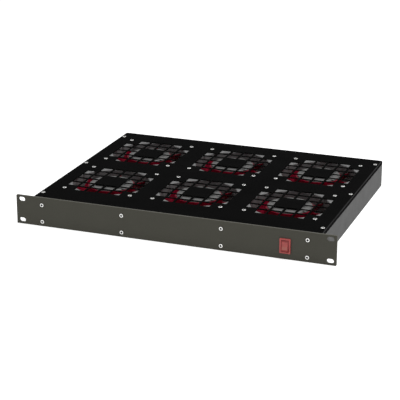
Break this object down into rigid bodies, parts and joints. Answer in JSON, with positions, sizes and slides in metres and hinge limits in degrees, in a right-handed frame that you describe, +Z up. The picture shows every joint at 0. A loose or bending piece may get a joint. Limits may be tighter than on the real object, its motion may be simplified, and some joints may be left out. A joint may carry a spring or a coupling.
{
  "type": "rack fan tray",
  "caption": "Flat rack-mount fan tray: slotted front panel with a rocker switch, grey side walls and a black cover with square-hole grilles over axial fans.",
  "frame": {"origin": "centre of the four rack slots, on the front panel's rear face", "axes": "+X to the right along the panel, +Y back into the rack, +Z up"},
  "size_m": [0.4826, 0.3607, 0.0436],
  "materials": {
    "panel_black": "dark anodised, satin",
    "cover_black": "black powder coat, satin",
    "rail_grey": "plain anodised, satin",
    "floor_black": "black powder coat, satin",
    "screw_steel": "bright zinc plate",
    "frame_grey": "plain die casting",
    "impeller_red": "moulded, glossy",
    "rotor_grey": "grey painted steel cup",
    "shaft_steel": "ground",
    "lamination": "stamped stack",
    "winding": "enamelled copper wire",
    "switch_red": "red moulded",
    "contact_brass": "plated",
    "inlet_black": "moulded",
    "block_white": "moulded",
    "lead_black": "insulation",
    "lead_brown": "insulation"
  },
  "bodies": {
    "chassis": {"cover_screws": "screw_steel", "earth_lug": "contact_brass", "earth_nut": "screw_steel", "earth_stud": "screw_steel", "end_screws": "screw_steel", "fan_bearings": "shaft_steel", "fan_frame_1": "frame_grey", "fan_frame_2": "frame_grey", "fan_frame_3": "frame_grey", "fan_frame_4": "frame_grey", "fan_frame_5": "frame_grey", "fan_frame_6": "frame_grey", "fan_leads": "lead_black", "fan_screws": "screw_steel", "fan_stator_1": "lamination", "fan_stator_2": "lamination", "fan_stator_3": "lamination", "fan_stator_4": "lamination", "fan_stator_5": "lamination", "fan_stator_6": "lamination", "floor_plate": "floor_black", "floor_screws": "screw_steel", "front_panel": "panel_black", "front_wall": "rail_grey", "inlet_body": "inlet_black", "inlet_nuts": "screw_steel", "inlet_pins": "contact_brass", "inlet_screws": "screw_steel", "lead_clips": "block_white", "mains_leads": "lead_brown", "panel_nuts": "screw_steel", "panel_screws": "screw_steel", "rear_wall": "rail_grey", "side_wall_left": "rail_grey", "side_wall_right": "rail_grey", "stator_windings": "winding", "switch_body": "switch_red", "switch_terminals": "contact_brass", "terminal_block": "block_white", "terminal_screws": "screw_steel", "top_cover": "cover_black"},
    "impeller_1": {"fan_impeller_1": "impeller_red", "rotor_cup_1": "rotor_grey", "rotor_shaft_1": "shaft_steel"},
    "impeller_2": {"fan_impeller_2": "impeller_red", "rotor_cup_2": "rotor_grey", "rotor_shaft_2": "shaft_steel"},
    "impeller_3": {"fan_impeller_3": "impeller_red", "rotor_cup_3": "rotor_grey", "rotor_shaft_3": "shaft_steel"},
    "impeller_4": {"fan_impeller_4": "impeller_red", "rotor_cup_4": "rotor_grey", "rotor_shaft_4": "shaft_steel"},
    "impeller_5": {"fan_impeller_5": "impeller_red", "rotor_cup_5": "rotor_grey", "rotor_shaft_5": "shaft_steel"},
    "impeller_6": {"fan_impeller_6": "impeller_red", "rotor_cup_6": "rotor_grey", "rotor_shaft_6": "shaft_steel"},
    "rocker": {"switch_rocker": "switch_red"}
  },
  "joints": [
    {"name": "impeller_1_spin", "type": "hinge", "parent": "chassis", "child": "impeller_1", "pos_m": [-0.1404, 0.1102, 0], "axis": [0, 0, 1], "continuous": true},
    {"name": "impeller_2_spin", "type": "hinge", "parent": "chassis", "child": "impeller_2", "pos_m": [0, 0.1102, 0], "axis": [0, 0, 1], "continuous": true},
    {"name": "impeller_3_spin", "type": "hinge", "parent": "chassis", "child": "impeller_3", "pos_m": [0.1404, 0.1102, 0], "axis": [0, 0, 1], "continuous": true},
    {"name": "impeller_4_spin", "type": "hinge", "parent": "chassis", "child": "impeller_4", "pos_m": [-0.1404, 0.2602, 0], "axis": [0, 0, 1], "continuous": true},
    {"name": "impeller_5_spin", "type": "hinge", "parent": "chassis", "child": "impeller_5", "pos_m": [0, 0.2602, 0], "axis": [0, 0, 1], "continuous": true},
    {"name": "impeller_6_spin", "type": "hinge", "parent": "chassis", "child": "impeller_6", "pos_m": [0.1404, 0.2602, 0], "axis": [0, 0, 1], "continuous": true},
    {"name": "rocker_press", "type": "hinge", "parent": "chassis", "child": "rocker", "pos_m": [0.1685, -0.003, -0.00217], "axis": [1, 0, 0], "range_deg": [0, 18]}
  ]
}
